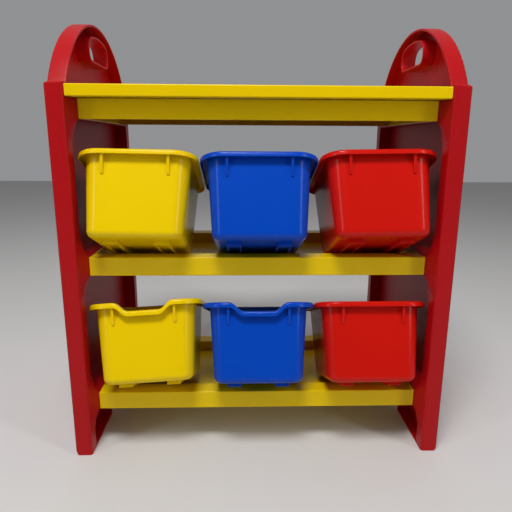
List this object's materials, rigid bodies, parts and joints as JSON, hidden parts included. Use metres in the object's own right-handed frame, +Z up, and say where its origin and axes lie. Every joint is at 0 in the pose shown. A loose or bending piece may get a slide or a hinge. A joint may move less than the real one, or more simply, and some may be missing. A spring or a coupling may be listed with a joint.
{
  "type": "toy storage organizer with bins",
  "caption": "Free-standing children's toy organizer: two arched red uprights, a yellow top board and trays, and loose plastic bins in two rows, tipped forward and lifting out.",
  "frame": {"origin": "on the floor, midway between the two uprights and midway through their depth", "axes": "+Z up, front towards -Y, +X to the right seen from the front"},
  "size_m": [0.658, 0.4488, 0.7619],
  "materials": {
    "red_plastic": "gloss",
    "yellow_plastic": "gloss",
    "blue_plastic": "gloss"
  },
  "bodies": {
    "unit": {"right_side_panel": "red_plastic", "left_side_panel": "red_plastic", "top_board": "yellow_plastic", "top_tray": "yellow_plastic", "middle_tray": "yellow_plastic", "lower_tray": "yellow_plastic"},
    "upper_yellow_body": {"upper_yellow_bin": "yellow_plastic"},
    "upper_blue_body": {"upper_blue_bin": "blue_plastic"},
    "upper_red_body": {"upper_red_bin": "red_plastic"},
    "lower_yellow_body": {"lower_yellow_bin": "yellow_plastic"},
    "lower_blue_body": {"lower_blue_bin": "blue_plastic"},
    "lower_red_body": {"lower_red_bin": "red_plastic"}
  },
  "joints": [
    {"name": "upper_yellow_lift_out", "type": "slide", "parent": "unit", "child": "upper_yellow_body", "axis": [0, -0.919, 0.3942], "range_m": [0, 0.26]},
    {"name": "upper_blue_lift_out", "type": "slide", "parent": "unit", "child": "upper_blue_body", "axis": [0, -0.9266, 0.3761], "range_m": [0, 0.26]},
    {"name": "upper_red_lift_out", "type": "slide", "parent": "unit", "child": "upper_red_body", "axis": [0, -0.9125, 0.4092], "range_m": [0, 0.26]},
    {"name": "lower_yellow_lift_out", "type": "slide", "parent": "unit", "child": "lower_yellow_body", "axis": [0, -0.9324, 0.3616], "range_m": [0, 0.26]},
    {"name": "lower_blue_lift_out", "type": "slide", "parent": "unit", "child": "lower_blue_body", "axis": [0, -0.9295, 0.3687], "range_m": [0, 0.26]},
    {"name": "lower_red_lift_out", "type": "slide", "parent": "unit", "child": "lower_red_body", "axis": [0, -0.9277, 0.3734], "range_m": [0, 0.26]}
  ]
}
